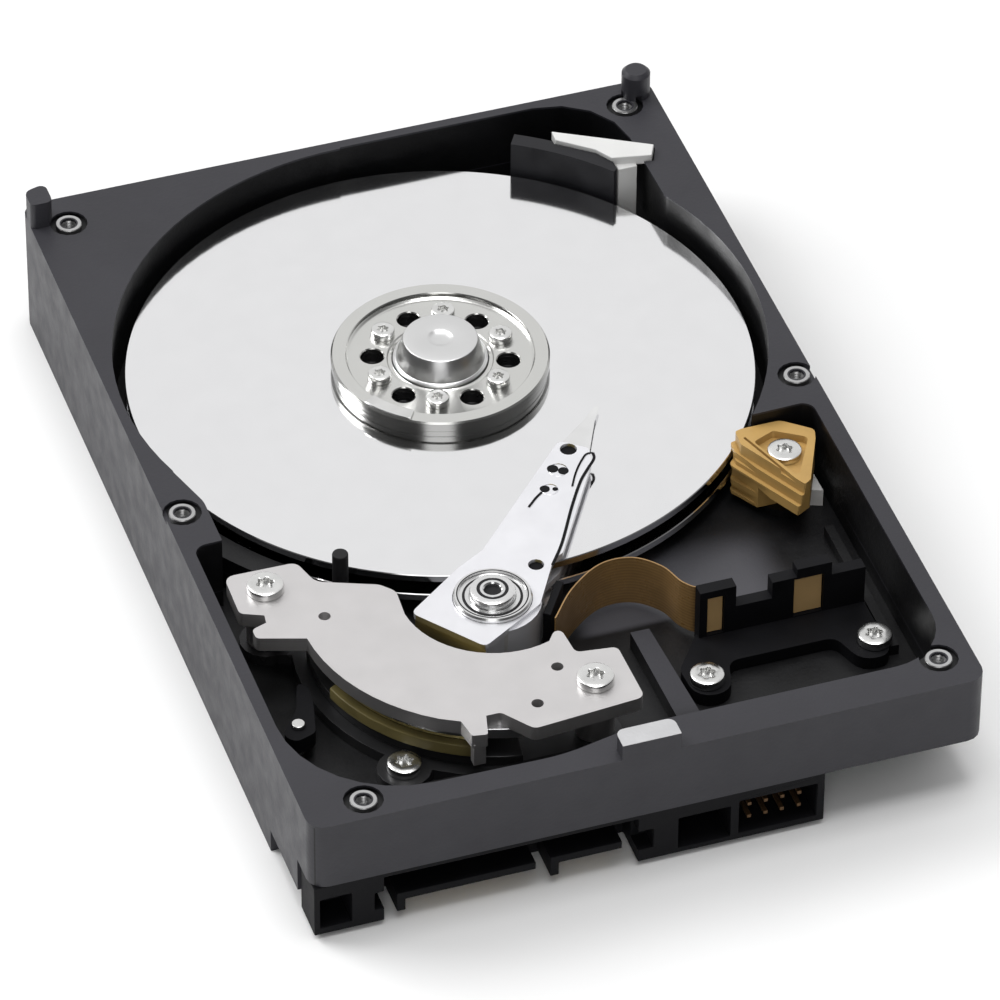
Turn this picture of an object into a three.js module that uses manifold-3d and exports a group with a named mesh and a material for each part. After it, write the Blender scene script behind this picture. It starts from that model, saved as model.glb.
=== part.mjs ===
import * as THREE from "three";
import { mergeVertices } from "three/addons/utils/BufferGeometryUtils.js";
import Module from "manifold-3d";

// An open 3.5-inch hard disk drive, without its cover. Millimetres, Z up. The pieces are laid out with
// X across the drive, Y from the connector end (0) to the rear end, and Z from the mounting plane.
// The last lines move the whole drive back by half its length, so that the origin is under its middle.

// Driving dimensions of the form factor and the casting.
const LENGTH = 147;
const WIDTH = 101.6;
const HEIGHT = 26.1;
const HALF = WIDTH / 2;
const RIM = 21.4;
const FLOOR = 8.6;
const SHELF = 11.5;
const SHELF_DEPTH = 14.5;
const UNDERSIDE = 5.2;
const RAIL = 6.5;
const BAY_TOP = 9.9;
const BAY_DEPTH = 12.5;

// The spindle, its two discs and the clamp on top of them.
const SPINDLE = [0, 95.85];
const WELL_RADIUS = 49.3;
const DISC_RADIUS = 47.5;
const DISC_BORE = 12.5;
const DISC_THICKNESS = 1.27;
const DISC_TOP = 16.5;
const SPACER = 2.4;
const DISC_BOTTOM = DISC_TOP - DISC_THICKNESS;
const LOWER_TOP = DISC_BOTTOM - SPACER;
const LOWER_BOTTOM = LOWER_TOP - DISC_THICKNESS;
const HUB_TOP = 17.4;
const CLAMP_RADIUS = 16.5;
const CLAMP_TOP = 19.35;
const CLAMP_FLOOR = 18.3;
const CLAMP_CIRCLE = 10.25;
const FIRST_CLAMP_SCREW = THREE.MathUtils.degToRad(9.4);
const CAP_TOP = 22.3;

// The actuator: its pivot, the direction of its arms at rest, and the heights of its layers.
const PIVOT = [-9.9, 41.8];
const ARM_ANGLE = (52 * Math.PI) / 180;
const ARM_THICKNESS = 1;
const ARM_TOPS = [18.5, 14.53, 10.8];
const BLOCK_BOTTOM = 9.2;
const SLEEVE_RADIUS = 5.8;
const SHAFT_RADIUS = 3.4;
const SHAFT_TOP = 20.2;
const RUNNING = 0.06;
const COIL_ANGLE = (222 * Math.PI) / 180;
const COIL_BOTTOM = 12.6;
const COIL_TOP = 15;
const BEAM_LENGTH = 46;
const FLYING_GAP = 0.1;

// The magnet assembly that stands round the coil.
const YOKE_INNER = 13.8;
const YOKE_OUTER = 28.8;
const LOWER_PLATE_TOP = 10.5;
const UPPER_PLATE_BOTTOM = 17.6;
const UPPER_PLATE_TOP = 20;
const MAGNET = 1.8;
const PLATE_SCREWS = { left: [-41.2, 52.1], right: [-2.2, 18.5] };
const LOWER_SCREW = [-30.7, 19.4];

// Fasteners and other places on the casting.
const COVER_HOLES = [[-45, 140.6], [45.4, 141.6], [-48.1, 70.7], [48.2, 72], [-41.8, 3.9], [45.6, 6.2]];
const BOTTOM_HOLES = [41.28, 85.73, 117.48];
const BOTTOM_HOLE_X = 47.63;
const MOUNTING_HOLE = 1.65;
const BOARD = [1.2, 2.8];
const BOARD_SCREWS = [[-38, 88], [38, 88], [36, 20]];
const RAMP_SCREW = [41.5, 58.8];
const FLEX_SCREWS = { left: [16.7, 23.2], right: [42.8, 23.7] };
const CRASH_STOP = [-28.9, 54.9];
const LATCH_PIN = [-43.4, 29.5];
const GAP = 0.3;
const ROUND = 96;
const ABOVE = RIM + 10;

const wasm = await Module();
wasm.setup();

const MATERIALS = {
  casting: { color: 0x4b4b51, roughness: 0.5, metalness: 0.3 },
  disc: { color: 0xe2e2e4, roughness: 0.05, metalness: 1 },
  bright: { color: 0xd8d8d8, roughness: 0.25, metalness: 1 },
  satin: { color: 0xcfcdcc, roughness: 0.45, metalness: 0.8 },
  magnet: { color: 0x9a9a9e, roughness: 0.35, metalness: 1 },
  aluminium: { color: 0xdadadd, roughness: 0.3, metalness: 1 },
  copper: { color: 0xb08a48, roughness: 0.4, metalness: 0.8 },
  black: { color: 0x141418, roughness: 0.5, metalness: 0 },
  grey: { color: 0x3a3a40, roughness: 0.5, metalness: 0 },
  ramp: { color: 0xd2a25a, roughness: 0.5, metalness: 0 },
  film: { color: 0x6f5230, roughness: 0.4, metalness: 0 },
  white: { color: 0xeeeeec, roughness: 0.7, metalness: 0 },
  board: { color: 0x1f4a35, roughness: 0.5, metalness: 0 },
  foam: { color: 0x2b2b2e, roughness: 0.9, metalness: 0 },
  gold: { color: 0xd8b45a, roughness: 0.3, metalness: 1 },
};

// ---- Solids -----------------------------------------------------------------------------------

function solid(geometry) {
  geometry.deleteAttribute("normal");
  geometry.deleteAttribute("uv");
  const merged = mergeVertices(geometry, 1e-4);
  return new wasm.Manifold(new wasm.Mesh({
    numProp: 3,
    vertProperties: new Float32Array(merged.attributes.position.array),
    triVerts: new Uint32Array(merged.index.array),
  }));
}

function join(first, ...others) {
  return others.reduce((whole, piece) => whole.add(piece), first);
}

function cut(first, ...others) {
  return others.reduce((rest, tool) => rest.subtract(tool), first);
}

function box([x0, x1], [y0, y1], [z0, z1]) {
  const geometry = new THREE.BoxGeometry(x1 - x0, y1 - y0, z1 - z0);
  return solid(geometry.translate((x0 + x1) / 2, (y0 + y1) / 2, (z0 + z1) / 2));
}

/** A flat piece from a list of [x, y] points, from height z0 to z1. */
function plate(points, z0, z1) {
  const shape = new THREE.Shape(points.map(([x, y]) => new THREE.Vector2(x, y)));
  const geometry = new THREE.ExtrudeGeometry(shape, { depth: z1 - z0, bevelEnabled: false });
  return solid(geometry.translate(0, 0, z0));
}

/** A solid of revolution about a vertical axis: the profile is a closed list of [radius, z]. */
function turned([x, y], profile, segments) {
  const points = [...profile, profile[0]].map(([r, z]) => new THREE.Vector2(r, z));
  const geometry = new THREE.LatheGeometry(points, segments).rotateX(Math.PI / 2);
  return solid(geometry.translate(x, y, 0));
}

function cylinder([x, y], radius, z0, z1, segments = 16) {
  const geometry = new THREE.CylinderGeometry(radius, radius, z1 - z0, segments);
  return solid(geometry.rotateX(Math.PI / 2).translate(x, y, (z0 + z1) / 2));
}

/** Points [x, y] on an arc, angles in radians. */
function arc([x, y], radius, from, to, steps = 8) {
  return Array.from({ length: steps + 1 }, (_, i) => {
    const angle = from + ((to - from) * i) / steps;
    return [x + radius * Math.cos(angle), y + radius * Math.sin(angle)];
  });
}

/** A closed outline whose corners [x, y, radius] are rounded; a corner with no radius stays sharp. */
function rounded(corners, steps = 4) {
  return corners.flatMap(([x, y, radius], i) => {
    if (!radius) {
      return [[x, y]];
    }
    const corner = new THREE.Vector2(x, y);
    const before = new THREE.Vector2(...corners.at(i - 1).slice(0, 2)).sub(corner).normalize();
    const after = new THREE.Vector2(...corners[(i + 1) % corners.length].slice(0, 2)).sub(corner).normalize();
    const half = Math.acos(before.dot(after)) / 2;
    const reach = radius / Math.tan(half);
    const centre = before.clone().add(after).normalize().multiplyScalar(radius / Math.sin(half)).add(corner);
    const start = before.multiplyScalar(reach).add(corner).sub(centre).angle();
    const end = after.multiplyScalar(reach).add(corner).sub(centre).angle();
    const turn = THREE.MathUtils.euclideanModulo(end - start + Math.PI, 2 * Math.PI) - Math.PI;
    return arc([centre.x, centre.y], radius, start, start + turn, steps);
  });
}

/** Part of a ring about a centre, between two radii and two angles. */
function sector(centre, [inner, outer], [from, to], [z0, z1], steps = 10) {
  return plate([...arc(centre, outer, from, to, steps), ...arc(centre, inner, to, from, steps)], z0, z1);
}

/** A thin strip of the given thickness along a curve through the points. */
function ribbon(points, thickness, z0, z1, steps) {
  const curve = new THREE.CatmullRomCurve3(points.map(([x, y]) => new THREE.Vector3(x, y, 0)));
  const sides = [1, -1].map((side) => curve.getSpacedPoints(steps).map((point, i) => {
    const along = curve.getTangentAt(i / steps);
    return [point.x - (side * along.y * thickness) / 2, point.y + (side * along.x * thickness) / 2];
  }));
  return plate([...sides[0], ...sides[1].reverse()], z0, z1);
}

/** A point given along the arm (u) and to its left (v), from the pivot, at rest. */
function onArm([u, v, radius]) {
  const x = PIVOT[0] + u * Math.cos(ARM_ANGLE) - v * Math.sin(ARM_ANGLE);
  const y = PIVOT[1] + u * Math.sin(ARM_ANGLE) + v * Math.cos(ARM_ANGLE);
  return [x, y, radius];
}

/** A screw with a shallow socket in its head; seat is the height of the head's underside. */
function screw(place, seat, { head, height, shank, depth, socket }, segments = 12) {
  const top = seat + height;
  const rim = 0.35;
  return turned(place, [
    [0, seat - depth], [shank, seat - depth], [shank, seat], [head, seat], [head, top - rim],
    [head - rim, top], [socket, top], [socket, top - height / 2], [0, top - height / 2],
  ], segments);
}

const PLATE_SCREW = { head: 2.75, height: 1.3, shank: 1.25, depth: 6, socket: 1.3 };
const FLOOR_SCREW = { head: 2.6, height: 1.4, shank: 1.1, depth: 2, socket: 1.2 };
const CLAMP_SCREW = { head: 1.8, height: 1.2, shank: 0.9, depth: 3, socket: 0.9 };

// ---- Base casting -----------------------------------------------------------------------------

function pockets() {
  const front = rounded([
    [-48.9, 62.8, 2], [-48.9, 4.5, 18], [-12, 3.8, 30], [0, 6.4, 20], [48.1, 6.4, 9], [48.1, 65.6, 2],
  ], 8);
  const leftCorner = rounded([[-44.4, 55], [0, 55], [0, 80], [-46.8, 80], [-44.4, 72, 6]]);
  const rearRight = rounded([[0, 100], [44.2, 100], [43.2, LENGTH - 1.6, 12], [0, LENGTH - 1.6]]);
  const shallow = plate(front, SHELF, ABOVE);
  const deep = plate(front, FLOOR, ABOVE).intersect(box([-HALF, HALF], [SHELF_DEPTH, LENGTH], [0, ABOVE]));
  return join(
    shallow,
    deep,
    cylinder(SPINDLE, WELL_RADIUS, FLOOR, ABOVE, ROUND),
    plate(leftCorner, FLOOR, ABOVE),
    plate(rearRight, FLOOR, ABOVE),
  );
}

function undercuts() {
  const between = [-HALF + RAIL, HALF - RAIL];
  return [
    box(between, [BAY_DEPTH - 1, LENGTH - 5], [-1, UNDERSIDE]),
    box([-HALF - 1, HALF + 1], [-1, 6.7], [-1, BAY_TOP]),
    box([-HALF + RAIL, HALF + 1], [-1, BAY_DEPTH], [-1, BAY_TOP]),
    box([-HALF - 1, -HALF + RAIL + 1], [6, 19.6], [-1, 4]),
    box([HALF - RAIL - 1, HALF + 1], [BAY_DEPTH - 1, 19.6], [-1, 4]),
  ];
}

function mountingHoles() {
  return BOTTOM_HOLES.flatMap((y) => [-1, 1].map((side) => (
    cylinder([side * BOTTOM_HOLE_X, y], MOUNTING_HOLE, -1, 6, 12))));
}

/** A ring round each cover screw hole, left standing in a shallow round recess. */
function coverHole(place) {
  const recess = turned(place, [
    [1.95, RIM - 0.8], [2.9, RIM - 0.8], [2.9, RIM + 1], [1.95, RIM + 1],
  ], 16);
  return [recess, cylinder(place, 1.2, RIM - 7, RIM + 1, 12)];
}

function raisedParts() {
  const leftPost = plate(rounded([
    [-HALF, LENGTH - 6.2, 0.8], [-HALF + 3.5, LENGTH - 6.2, 1], [-HALF + 3.5, LENGTH - 1.6, 1],
    [-HALF, LENGTH - 2.6, 1.4],
  ]), RIM - 1, HEIGHT);
  const rightPost = turned([HALF - 2.8, LENGTH - 3], [
    [0, RIM - 1], [2.25, RIM - 1], [2.25, HEIGHT - 0.6], [1.65, HEIGHT], [0, HEIGHT],
  ], 24);
  const lug = plate(rounded([[-4.6, 0], [4.2, 0], [4.2, 3.4, 1.2], [-4.6, 3.4, 1.2]]), RIM - 1, RIM + 2.8);
  return [leftPost, rightPost, lug];
}

/** Walls and bosses that stand on the inner floor. */
function innerParts() {
  const low = FLOOR - 1;
  const shroud = sector(SPINDLE, [48.4, 52], [3.5, 3.95], [low, 14.5]);
  const rib = plate([[9.2, 35.5], [12.1, 35.5], [13.2, 14], [9.6, 14]], low, 11.6);
  const ridge = plate([[44.6, 22], [46, 22], [46.2, 50], [44.8, 50]], low, 10.4);
  const rampBoss = cylinder(RAMP_SCREW, 3.4, low, FLOOR + 1.4);
  const motorRing = turned(SPINDLE, [[17.5, low], [19.5, low], [19.5, 9.3], [17.5, 9.3]], 32);
  return [shroud, rib, ridge, rampBoss, motorRing];
}

function baseCasting() {
  const corners = [[-HALF, 0, 2.6], [HALF, 0, 2.6], [HALF, LENGTH, 2.6], [-HALF, LENGTH, 2.6]];
  const block = cut(plate(rounded(corners), 0, RIM), pockets(), ...undercuts());
  const bosses = BOARD_SCREWS.map((place) => cylinder(place, 3.2, BOARD[1] + 0.05, UNDERSIDE + 1));
  const motorSeat = cylinder(SPINDLE, 15.5, 2.2, UNDERSIDE + 1, 32);
  const frontBoss = cylinder(LOWER_SCREW, 4.2, FLOOR - 1, LOWER_PLATE_TOP - 2);
  return cut(
    join(block, ...raisedParts(), ...innerParts(), ...bosses, motorSeat, frontBoss),
    cylinder(SPINDLE, 12.2, -1, FLOOR + 1, 32),
    cylinder(PIVOT, 2.1, UNDERSIDE - 1, FLOOR + 1),
    cylinder(CRASH_STOP, 1.25, FLOOR - 2, FLOOR + 1, 16),
    cylinder(LATCH_PIN, 1.05, FLOOR - 2, FLOOR + 1, 16),
    cylinder(RAMP_SCREW, 1.15, FLOOR - 2, FLOOR + 2, 16),
    cylinder(LOWER_SCREW, 1.15, FLOOR - 2, FLOOR + 2, 16),
    ...Object.values(FLEX_SCREWS).map((place) => cylinder(place, 1.15, FLOOR - 2, FLOOR + 1, 16)),
    ...BOARD_SCREWS.map((place) => cylinder(place, 1.15, 0, UNDERSIDE + 1, 16)),
    ...COVER_HOLES.flatMap(coverHole),
    ...mountingHoles(),
    plate(filterOutline(GAP), RIM - 0.9, ABOVE),
  );
}

// ---- Circuit board and connectors -------------------------------------------------------------

function boardOutline(inset) {
  const side = HALF - RAIL - 0.5 - inset;
  return rounded([
    [-side, 12 + inset, 1], [side, 12 + inset, 1], [side, 96 - inset, 2], [26, 96 - inset, 2],
    [17, 72 - inset, 6], [-17, 72 - inset, 6], [-26, 96 - inset, 2], [-side, 96 - inset, 2],
  ], 4);
}

function circuitBoard() {
  const tongue = box([-40, 26], [1.5, 13], BOARD);
  const sheet = plate(boardOutline(0), ...BOARD);
  return cut(join(sheet, cut(tongue, box([-51, 27], [-1, 11.6], [0, 5]))),
    ...BOARD_SCREWS.map((place) => cylinder(place, 1.3, 0, 5, 16)));
}

function insulatorPad() {
  return cut(plate(boardOutline(3), BOARD[1] + 0.1, UNDERSIDE - 0.1),
    ...BOARD_SCREWS.map((place) => cylinder(place, 4.2, 0, UNDERSIDE + 1)));
}

const CONNECTOR = { left: -50.4, right: 26.4, bottom: 0.8, top: 9.8, back: 11.4, spine: 6.6 };

function connectorHousing() {
  const { left, right, bottom, top, back, spine } = CONNECTOR;
  const bar = cut(box([left, right], [0.1, back], [bottom, top]), box([-51, -44], [6.4, 12], [0, 10]));
  return cut(
    bar,
    box([-40, -1.9], [-1, spine], [0, 9.1]),
    box([-49.5, -44.8], [-1, 5.4], [2, 7.4]),
    box([-41.4, -39], [-1, 3.5], [3.2, 6.4]),
    box([-1.9 - 0.1, 0.4], [-1, 3.5], [3, 6.6]),
    box([4.2, 12.1], [-1, 9.4], [1.7, 7.5]),
    box([13.4, 25.2], [-1, 8.4], [1.9, 8.1]),
  );
}

/** The blade of a plug connector, with the L-shaped key at its left end. */
function tongue([x0, x1], [z0, z1]) {
  const { spine } = CONNECTOR;
  return join(
    box([x0, x1], [0.5, spine - 0.05], [z1 - 1.3, z1]),
    box([x0, x0 + 1.3], [0.5, spine - 0.05], [z0, z1 - 0.5]),
    box([x0, x1], [3.4, spine - 0.05], [z0 + 0.4, z1 - 0.5]),
  );
}

function jumperPins() {
  const pins = [15.3, 17.8, 20.3, 22.9].flatMap((x) => [3.9, 6.3].map((z) => (
    box([x - 0.32, x + 0.32], [1, 7.8], [z - 0.32, z + 0.32]))));
  return join(box([13.6, 25], [7.2, 8.3], [2.1, 7.9]), ...pins);
}

// ---- Spindle and discs ------------------------------------------------------------------------

function motorBase() {
  return turned(SPINDLE, [
    [0, 3.2], [12.1, 3.2], [12.1, 9], [4.8, 9], [4.8, 13.6],
    [2 + RUNNING, 13.6], [2 + RUNNING, 4.4], [0, 4.4],
  ], 32);
}

function motorStator() {
  const ring = turned(SPINDLE, [[4.95, 9.9], [6.2, 9.9], [6.2, 12.9], [4.95, 12.9]], 24);
  const teeth = Array.from({ length: 9 }, (_, i) => {
    const middle = (i * 2 * Math.PI) / 9;
    return sector(SPINDLE, [6, 9.6], [middle - 0.22, middle + 0.22], [10.1, 12.7], 2);
  });
  return join(ring, ...teeth);
}

/** Six places round the clamp, the first at the given angle. */
function aroundClamp(first) {
  return Array.from({ length: 6 }, (_, i) => {
    const angle = first + (i * Math.PI) / 3;
    return [SPINDLE[0] + CLAMP_CIRCLE * Math.cos(angle), SPINDLE[1] + CLAMP_CIRCLE * Math.sin(angle)];
  });
}

const CLAMP_SCREW_PLACES = aroundClamp(FIRST_CLAMP_SCREW);
const CLAMP_HOLE_PLACES = aroundClamp(FIRST_CLAMP_SCREW + Math.PI / 6);

function spindleHub() {
  const cup = turned(SPINDLE, [
    [0, 4.6], [2, 4.6], [2, 14.1], [10, 14.1], [10, 9.7], [16, 9.7], [16, LOWER_BOTTOM - 0.02],
    [DISC_BORE - 0.05, LOWER_BOTTOM - 0.02], [DISC_BORE - 0.05, HUB_TOP], [0, HUB_TOP],
  ], 48);
  return cut(
    cup,
    ...CLAMP_SCREW_PLACES.map((place) => cylinder(place, 1, 15.1, HUB_TOP + 1, 8)),
    ...CLAMP_HOLE_PLACES.map((place) => cylinder(place, 1.9, 15.6, HUB_TOP + 1, 12)),
  );
}

function disc(top) {
  const bottom = top - DISC_THICKNESS;
  return turned(SPINDLE, [
    [DISC_BORE, bottom], [DISC_RADIUS, bottom], [DISC_RADIUS, top], [DISC_BORE, top],
  ], ROUND);
}

function discSpacer() {
  return turned(SPINDLE, [
    [DISC_BORE, LOWER_TOP + 0.01], [15.8, LOWER_TOP + 0.01],
    [15.8, DISC_BOTTOM - 0.01], [DISC_BORE, DISC_BOTTOM - 0.01],
  ], 48);
}

function discClamp() {
  const ring = turned(SPINDLE, [
    [7.35, HUB_TOP + 0.05], [12.7, HUB_TOP + 0.05], [12.7, DISC_TOP + 0.01], [CLAMP_RADIUS, DISC_TOP + 0.01],
    [CLAMP_RADIUS, CLAMP_TOP], [14.05, CLAMP_TOP], [14.05, CLAMP_FLOOR], [7.35, CLAMP_FLOOR],
  ], 48);
  return cut(
    ring,
    ...CLAMP_SCREW_PLACES.map((place) => cylinder(place, 1.05, 16, CLAMP_TOP + 1, 8)),
    ...CLAMP_HOLE_PLACES.map((place) => cylinder(place, 2.15, 16, CLAMP_TOP + 1, 12)),
  );
}

function hubCap() {
  const base = HUB_TOP + 0.05;
  return turned(SPINDLE, [
    [0, base], [7.2, base], [7.2, 18.7], [6.7, 18.9], [5.9, CAP_TOP - 0.5], [5.3, CAP_TOP],
    [2.1, CAP_TOP], [1.9, CAP_TOP - 0.6], [0, CAP_TOP - 0.6],
  ], 32);
}

// ---- Actuator ---------------------------------------------------------------------------------

const ARM_END = 36.3;
const ARM_OUTLINE = [
  [-7.2, 10, 1], [-10.4, -2.6, 1], [1, -7, 1], [10.9, -5.6, 1], [12.7, -6.4, 1], [33, -3.9, 2],
  [ARM_END, -2.4, 1], [ARM_END, 2.4, 1], [25.1, 3.4], [9.4, 4.8, 2], [4.3, 6.9, 2],
];

function armBlock() {
  const top = plate(rounded(ARM_OUTLINE.map(onArm), 3), ARM_TOPS[0] - ARM_THICKNESS, ARM_TOPS[0]);
  const lowerArms = ARM_TOPS.slice(1).map((z) => plate(
    rounded([[3, -3.7], [12.7, -6, 1], [33, -3.9, 2],
      [ARM_END, -2.4, 1], [ARM_END, 2.4, 1], [9.4, 4.4, 2], [3, 3.5]]
      .map(onArm), 3), z - ARM_THICKNESS, z));
  const body = join(
    plate([[-5.9, 9.8], [-9.7, -2.4], [1, -6.8], [4, -6.4], [0, 0], [0, 7.2]].map(onArm), BLOCK_BOTTOM, 18.1),
    cylinder(PIVOT, 7.2, BLOCK_BOTTOM, 18, 32),
  );
  const holes = [[35, 0.4, 1.3], [30, 0.3, 1.5], [25.4, 0, 1.3], [8.9, -3.6, 1.2]].map(([u, v, radius]) => (
    cylinder(onArm([u, v]), radius, ARM_TOPS[2] - 2, ARM_TOPS[0] + 1, 16)));
  return cut(join(body, top, ...lowerArms), cylinder(PIVOT, SLEEVE_RADIUS + 0.08, 0, ABOVE, 32), ...holes);
}

function bearingSleeve() {
  const bore = SHAFT_RADIUS + RUNNING;
  return turned(PIVOT, [
    [bore, BLOCK_BOTTOM], [SLEEVE_RADIUS, BLOCK_BOTTOM], [SLEEVE_RADIUS, 18.9], [5.2, 19.2],
    [4.7, 18.8], [bore, 18.8],
  ], 32);
}

function pivotShaft() {
  return turned(PIVOT, [
    [0, 6.4], [2, 6.4], [2, FLOOR + 0.02], [SHAFT_RADIUS, FLOOR + 0.02], [SHAFT_RADIUS, SHAFT_TOP - 0.4],
    [SHAFT_RADIUS - 0.4, SHAFT_TOP], [1.4, SHAFT_TOP], [1.2, SHAFT_TOP - 1.4], [0, SHAFT_TOP - 1.4],
  ], 32);
}

/** The closed outline of the coil, grown or shrunk by an offset. */
function coilOutline(offset) {
  const spread = 0.37 + offset / 24;
  return [
    ...arc(PIVOT, 26.6 + offset, COIL_ANGLE - spread, COIL_ANGLE + spread, 10),
    ...arc(PIVOT, 14.6 - offset, COIL_ANGLE + spread * 0.86, COIL_ANGLE - spread * 0.86, 6),
  ];
}

function voiceCoil() {
  return cut(plate(coilOutline(0), COIL_BOTTOM, COIL_TOP), plate(coilOutline(-3.2), 0, ABOVE));
}

function coilFormer() {
  const spread = 0.47;
  const frame = plate([
    ...arc(PIVOT, 28.2, COIL_ANGLE - spread, COIL_ANGLE + spread, 12),
    ...[[-10.8, -2.6], [-6.9, 10.3]].map(onArm),
  ], COIL_BOTTOM + 0.2, COIL_TOP - 0.2);
  return cut(frame, plate(coilOutline(0.05), 0, ABOVE));
}

/** Which disc face each head flies over, and the layer its beam lies in, from the top down. */
const HEADS = [
  { face: DISC_TOP, up: 1, beam: ARM_TOPS[0] - ARM_THICKNESS - 0.25 },
  { face: DISC_BOTTOM, up: -1, beam: ARM_TOPS[1] + 0.02 },
  { face: LOWER_TOP, up: 1, beam: ARM_TOPS[1] - ARM_THICKNESS - 0.17 },
  { face: LOWER_BOTTOM, up: -1, beam: ARM_TOPS[2] + 0.02 },
];
const BEAM_THICKNESS = 0.15;

function suspension({ beam }) {
  const outline = [
    [30, -2.6], [36.5, -2.4], [BEAM_LENGTH - 2.4, -0.8], [BEAM_LENGTH, -0.5], [BEAM_LENGTH + 1.1, -0.3],
    [BEAM_LENGTH + 1.1, 0.3], [BEAM_LENGTH, 0.5], [BEAM_LENGTH - 2.4, 0.8], [36.5, 2.4], [30, 2.6],
  ];
  return plate(outline.map(onArm), beam, beam + BEAM_THICKNESS);
}

function headSlider({ face, up, beam }) {
  const near = face + up * FLYING_GAP;
  const far = up > 0 ? beam - 0.02 : beam + BEAM_THICKNESS + 0.02;
  const [from, to] = [BEAM_LENGTH - 2.3, BEAM_LENGTH - 1];
  const corners = [[from, -0.5], [to, -0.5], [to, 0.5], [from, 0.5]];
  return plate(corners.map(onArm), Math.min(near, far), Math.max(near, far));
}

function flexAnchor() {
  return plate([[0.5, -7.6], [8, -7], [8, -8.2], [0.5, -8.8]].map(onArm), 10, 17.3);
}

// ---- Magnets and latch ------------------------------------------------------------------------

const MAGNET_SPAN = [2.98, 4.55];

function upperPlateOutline() {
  const inner = arc(PIVOT, YOKE_INNER, 3.22, 5.02, 16);
  const outer = arc(PIVOT, YOKE_OUTER, 4.12, 3.2, 10);
  return rounded([
    [-46.3, 48.3, 1], [-46.1, 56.6, 1.5], [-35.2, 56.4, 1.5],
    [-33.8, 51.5, 2.5], [-25.2, 48, 2], [-23.3, 45.9, 2],
    ...inner,
    [-3.4, 31.8, 0.8], [-2.9, 25.2, 1], [3.2, 24.4, 1], [3.4, 13.1, 1.2], [-13.7, 11.7, 1.5],
    [-17.2, 16.4, 1], [-19.4, 16.4], [-20.4, 12.6, 0.4], [-22.6, 13, 0.4], [-23.2, 16.4],
    ...outer,
    [-45.6, 42.4, 0.8], [-45.6, 44.4, 0.8], [-43.2, 45.2], [-43, 46.8],
  ], 4);
}

function upperMagnetPlate() {
  const sheet = plate(upperPlateOutline(), UPPER_PLATE_BOTTOM, UPPER_PLATE_TOP);
  const tab = box([-22.4, -20.6], [12.9, 14.3], [14.2, UPPER_PLATE_BOTTOM + 0.5]);
  const holes = [[-34.8, 43.9, 0.9], [-6.4, 23.1, 0.9], [-11.6, 16.6, 0.9]];
  return cut(
    join(sheet, tab),
    ...holes.map(([x, y, radius]) => cylinder([x, y], radius, 10, ABOVE, 16)),
    ...Object.values(PLATE_SCREWS).map((place) => cylinder(place, 1.4, 10, ABOVE, 16)),
  );
}

function lowerMagnetPlate() {
  const [from, to] = [2.85, 4.75];
  const bottom = FLOOR + 0.02;
  const fan = sector(PIVOT, [YOKE_INNER - 1, YOKE_OUTER + 0.6], [from, to], [bottom, LOWER_PLATE_TOP], 18);
  const lobes = [PLATE_SCREWS.left, PLATE_SCREWS.right, LOWER_SCREW].map((place) => (
    cylinder(place, 4, bottom, LOWER_PLATE_TOP)));
  const arms = [
    plate([[-41, 48.3], [-30, 44], [-33, 52], [-41, 56]], bottom, LOWER_PLATE_TOP),
    plate([[-12, 14.8], [-2.2, 14.8], [-2.2, 22.4], [-10, 27]], bottom, LOWER_PLATE_TOP),
  ];
  return cut(
    join(fan, ...lobes, ...arms),
    cylinder(LOWER_SCREW, 1.3, 0, ABOVE, 16),
    box([-HALF, HALF], [0, SHELF_DEPTH + GAP], [0, ABOVE]),
  );
}

function magnet(z0, z1) {
  return sector(PIVOT, [YOKE_INNER + 0.6, YOKE_OUTER - 1.4], MAGNET_SPAN, [z0, z1], 16);
}

function pillar(place) {
  return cut(cylinder(place, 2.9, LOWER_PLATE_TOP + 0.02, UPPER_PLATE_BOTTOM - 0.02),
    cylinder(place, 1.4, UPPER_PLATE_BOTTOM - 5, ABOVE, 16));
}

function latchLever() {
  const hook = rounded([
    [-46.2, 28.2, 1.5], [-44.6, 26.4, 1.2], [-41.4, 27.4, 1.5], [-39.9, 33.4, 1], [-39.5, 37.4, 0.5],
    [-40.9, 38.2, 0.5], [-42.6, 33, 2],
  ], 4);
  return cut(
    plate(hook, LOWER_PLATE_TOP + 0.4, LOWER_PLATE_TOP + 3),
    cylinder(LATCH_PIN, 1.05, 0, ABOVE, 20),
  );
}

// ---- Parts that stand in the front and rear corners -------------------------------------------

/** The outline of the ramp with its sloping left side set back by the inset. */
function rampOutline(inset) {
  return rounded([
    [36.2 + inset / 2, 64.9, 0.5], [43, 64.9, 2], [47.2, 61.4, 1], [46.6, 59.4, 1], [42.7, 50.9, 0.3],
    [40.4 + inset * 0.8, 49.6 + inset / 3, 0.3], [34.2 + inset, 61.6, 0.6], [34.4 + inset, 64.6, 0.4],
  ], 3);
}

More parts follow.
